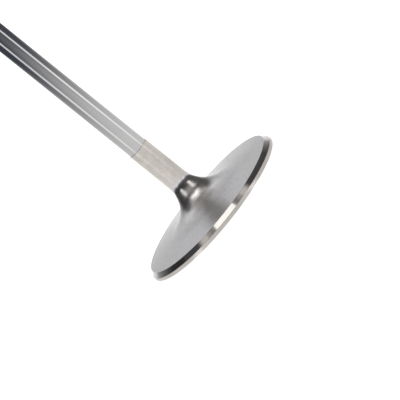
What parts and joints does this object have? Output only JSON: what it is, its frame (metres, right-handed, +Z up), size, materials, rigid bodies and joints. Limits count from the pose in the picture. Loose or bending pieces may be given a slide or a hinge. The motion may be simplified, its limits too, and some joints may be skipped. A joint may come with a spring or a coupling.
{
  "type": "engine valve",
  "caption": "Poppet valve with a wide tulip head, 45 degree seat, swept fillet, slightly thicker neck, ground stem and keeper groove.",
  "frame": {"origin": "centre of the flat combustion face, which the valve stands on", "axes": "+Z up the stem from the head to the tip; the valve is round about Z, so X and Y are alike"},
  "size_m": [0.055, 0.055, 0.127],
  "materials": {
    "steel": "satin head and neck, polished stem, fillet and seat"
  },
  "bodies": {
    "root": {"valve": "steel"}
  },
  "joints": []
}
